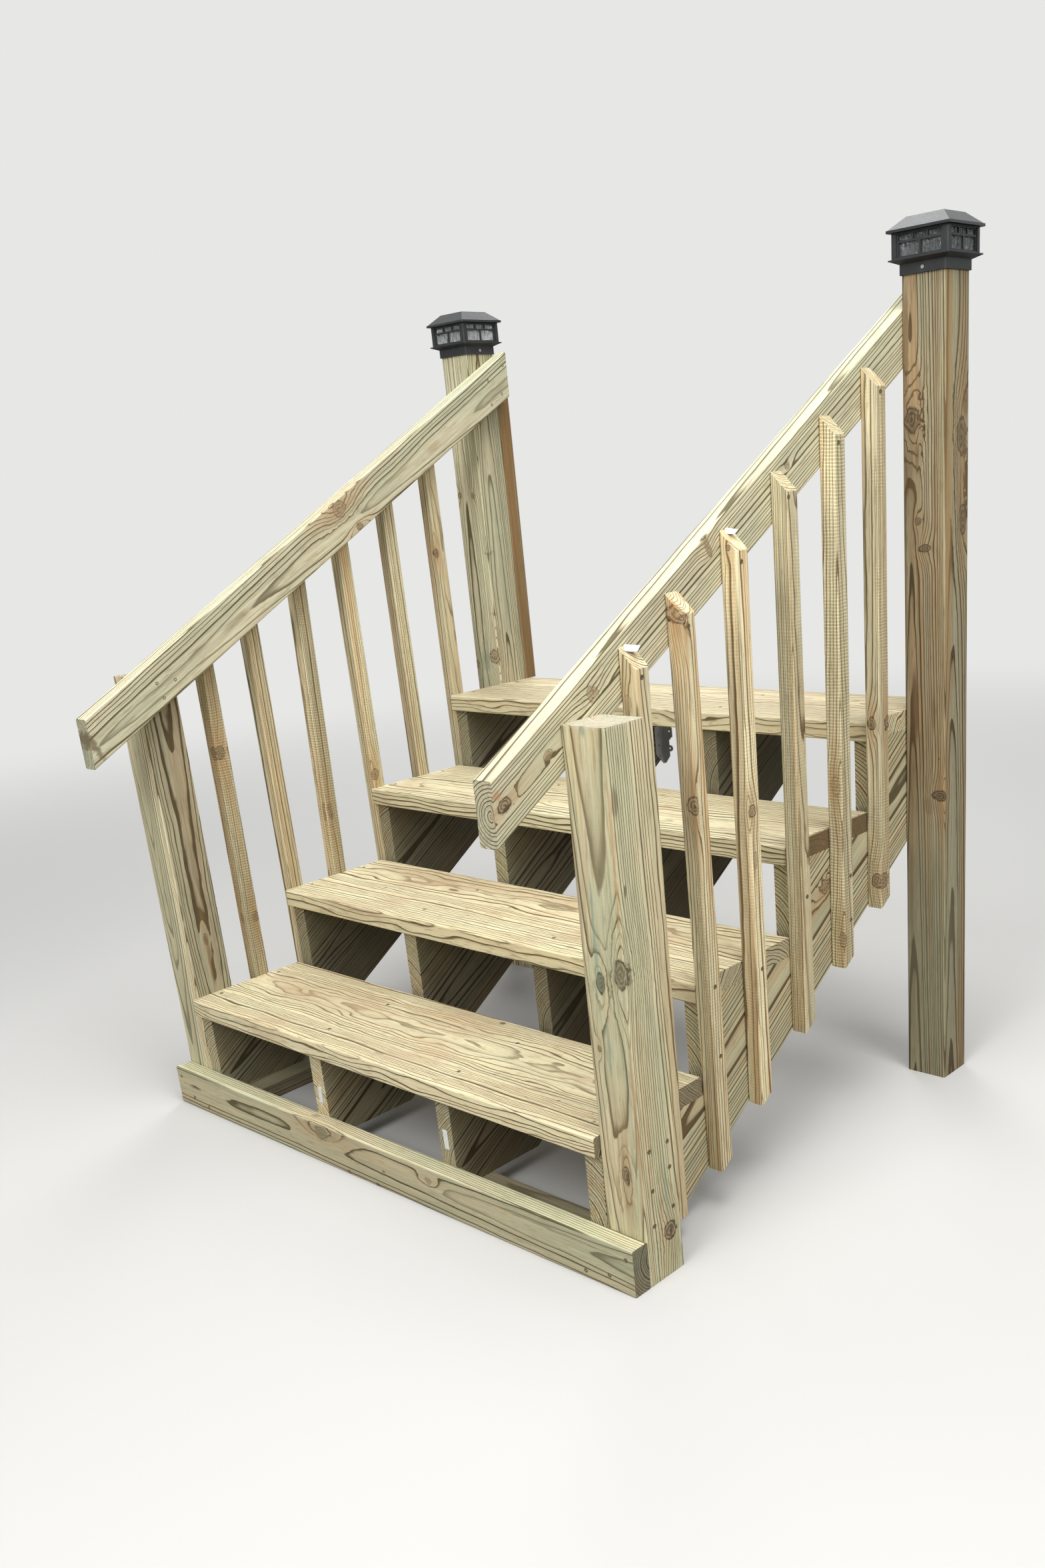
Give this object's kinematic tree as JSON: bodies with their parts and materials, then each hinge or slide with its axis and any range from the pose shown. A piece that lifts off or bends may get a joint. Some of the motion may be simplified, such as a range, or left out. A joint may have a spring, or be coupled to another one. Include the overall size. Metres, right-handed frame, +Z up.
{
  "type": "open-riser deck stairs",
  "caption": "Open-riser timber flight with notched stringers, plank treads, newels, sloping handrails with square balusters and tall posts with lantern caps.",
  "frame": {"origin": "on the ground, below the middle of the assembly's box", "axes": "+X to the right as the stairs are faced, +Y up the flight towards the deck, +Z up"},
  "size_m": [1.4386, 1.2942, 1.6761],
  "materials": {
    "stringer_left": "rough-sawn green-treated pine",
    "stringer_inner_left": "rough-sawn green-treated pine",
    "stringer_inner_right": "rough-sawn green-treated pine",
    "stringer_right": "rough-sawn green-treated pine",
    "tread_1": "rough-sawn green-treated pine",
    "tread_2": "rough-sawn green-treated pine",
    "tread_3": "rough-sawn green-treated pine",
    "tread_4": "rough-sawn green-treated pine",
    "kick_board": "rough-sawn green-treated pine",
    "sleeper_front": "rough-sawn green-treated pine",
    "sleeper_left": "rough-sawn green-treated pine",
    "newel_left": "rough-sawn green-treated pine",
    "newel_right": "rough-sawn green-treated pine",
    "post_left": "rough-sawn green-treated pine",
    "post_right": "rough-sawn green-treated pine",
    "post_nailer": "rough-sawn green-treated pine",
    "rail_left": "rough-sawn green-treated pine",
    "rail_right": "rough-sawn green-treated pine",
    "baluster_left_1": "rough-sawn green-treated pine",
    "baluster_left_2": "rough-sawn green-treated pine",
    "baluster_left_3": "rough-sawn green-treated pine",
    "baluster_left_4": "rough-sawn green-treated pine",
    "baluster_left_5": "rough-sawn green-treated pine",
    "baluster_left_6": "rough-sawn green-treated pine",
    "baluster_right_1": "rough-sawn green-treated pine",
    "baluster_right_2": "rough-sawn green-treated pine",
    "baluster_right_3": "rough-sawn green-treated pine",
    "baluster_right_4": "rough-sawn green-treated pine",
    "baluster_right_5": "rough-sawn green-treated pine",
    "baluster_right_6": "rough-sawn green-treated pine",
    "cap_black": "black powder-coat look, slightly dusty",
    "cap_glass": "clear, a little frosted",
    "cap_panel": "glossy dark",
    "galvanised": "dull zinc"
  },
  "bodies": {
    "root": {"stringer_left": "stringer_left", "stringer_inner_left": "stringer_inner_left", "stringer_inner_right": "stringer_inner_right", "stringer_right": "stringer_right", "tread_1": "tread_1", "tread_2": "tread_2", "tread_3": "tread_3", "tread_4": "tread_4", "kick_board": "kick_board", "sleeper_front": "sleeper_front", "sleeper_left": "sleeper_left", "newel_left": "newel_left", "newel_right": "newel_right", "post_left": "post_left", "post_right": "post_right", "post_nailer": "post_nailer", "rail_left": "rail_left", "rail_right": "rail_right", "baluster_left_1": "baluster_left_1", "baluster_left_2": "baluster_left_2", "baluster_left_3": "baluster_left_3", "baluster_left_4": "baluster_left_4", "baluster_left_5": "baluster_left_5", "baluster_left_6": "baluster_left_6", "baluster_right_1": "baluster_right_1", "baluster_right_2": "baluster_right_2", "baluster_right_3": "baluster_right_3", "baluster_right_4": "baluster_right_4", "baluster_right_5": "baluster_right_5", "baluster_right_6": "baluster_right_6", "cap_base_left": "cap_black", "cap_frame_left": "cap_black", "cap_glass_left": "cap_glass", "cap_roof_left": "cap_black", "cap_panel_left": "cap_panel", "cap_base_right": "cap_black", "cap_frame_right": "cap_black", "cap_glass_right": "cap_glass", "cap_roof_right": "cap_black", "cap_panel_right": "cap_panel", "hanger_1": "galvanised", "hanger_2": "galvanised", "hanger_3": "galvanised", "hanger_4": "galvanised"}
  },
  "joints": []
}
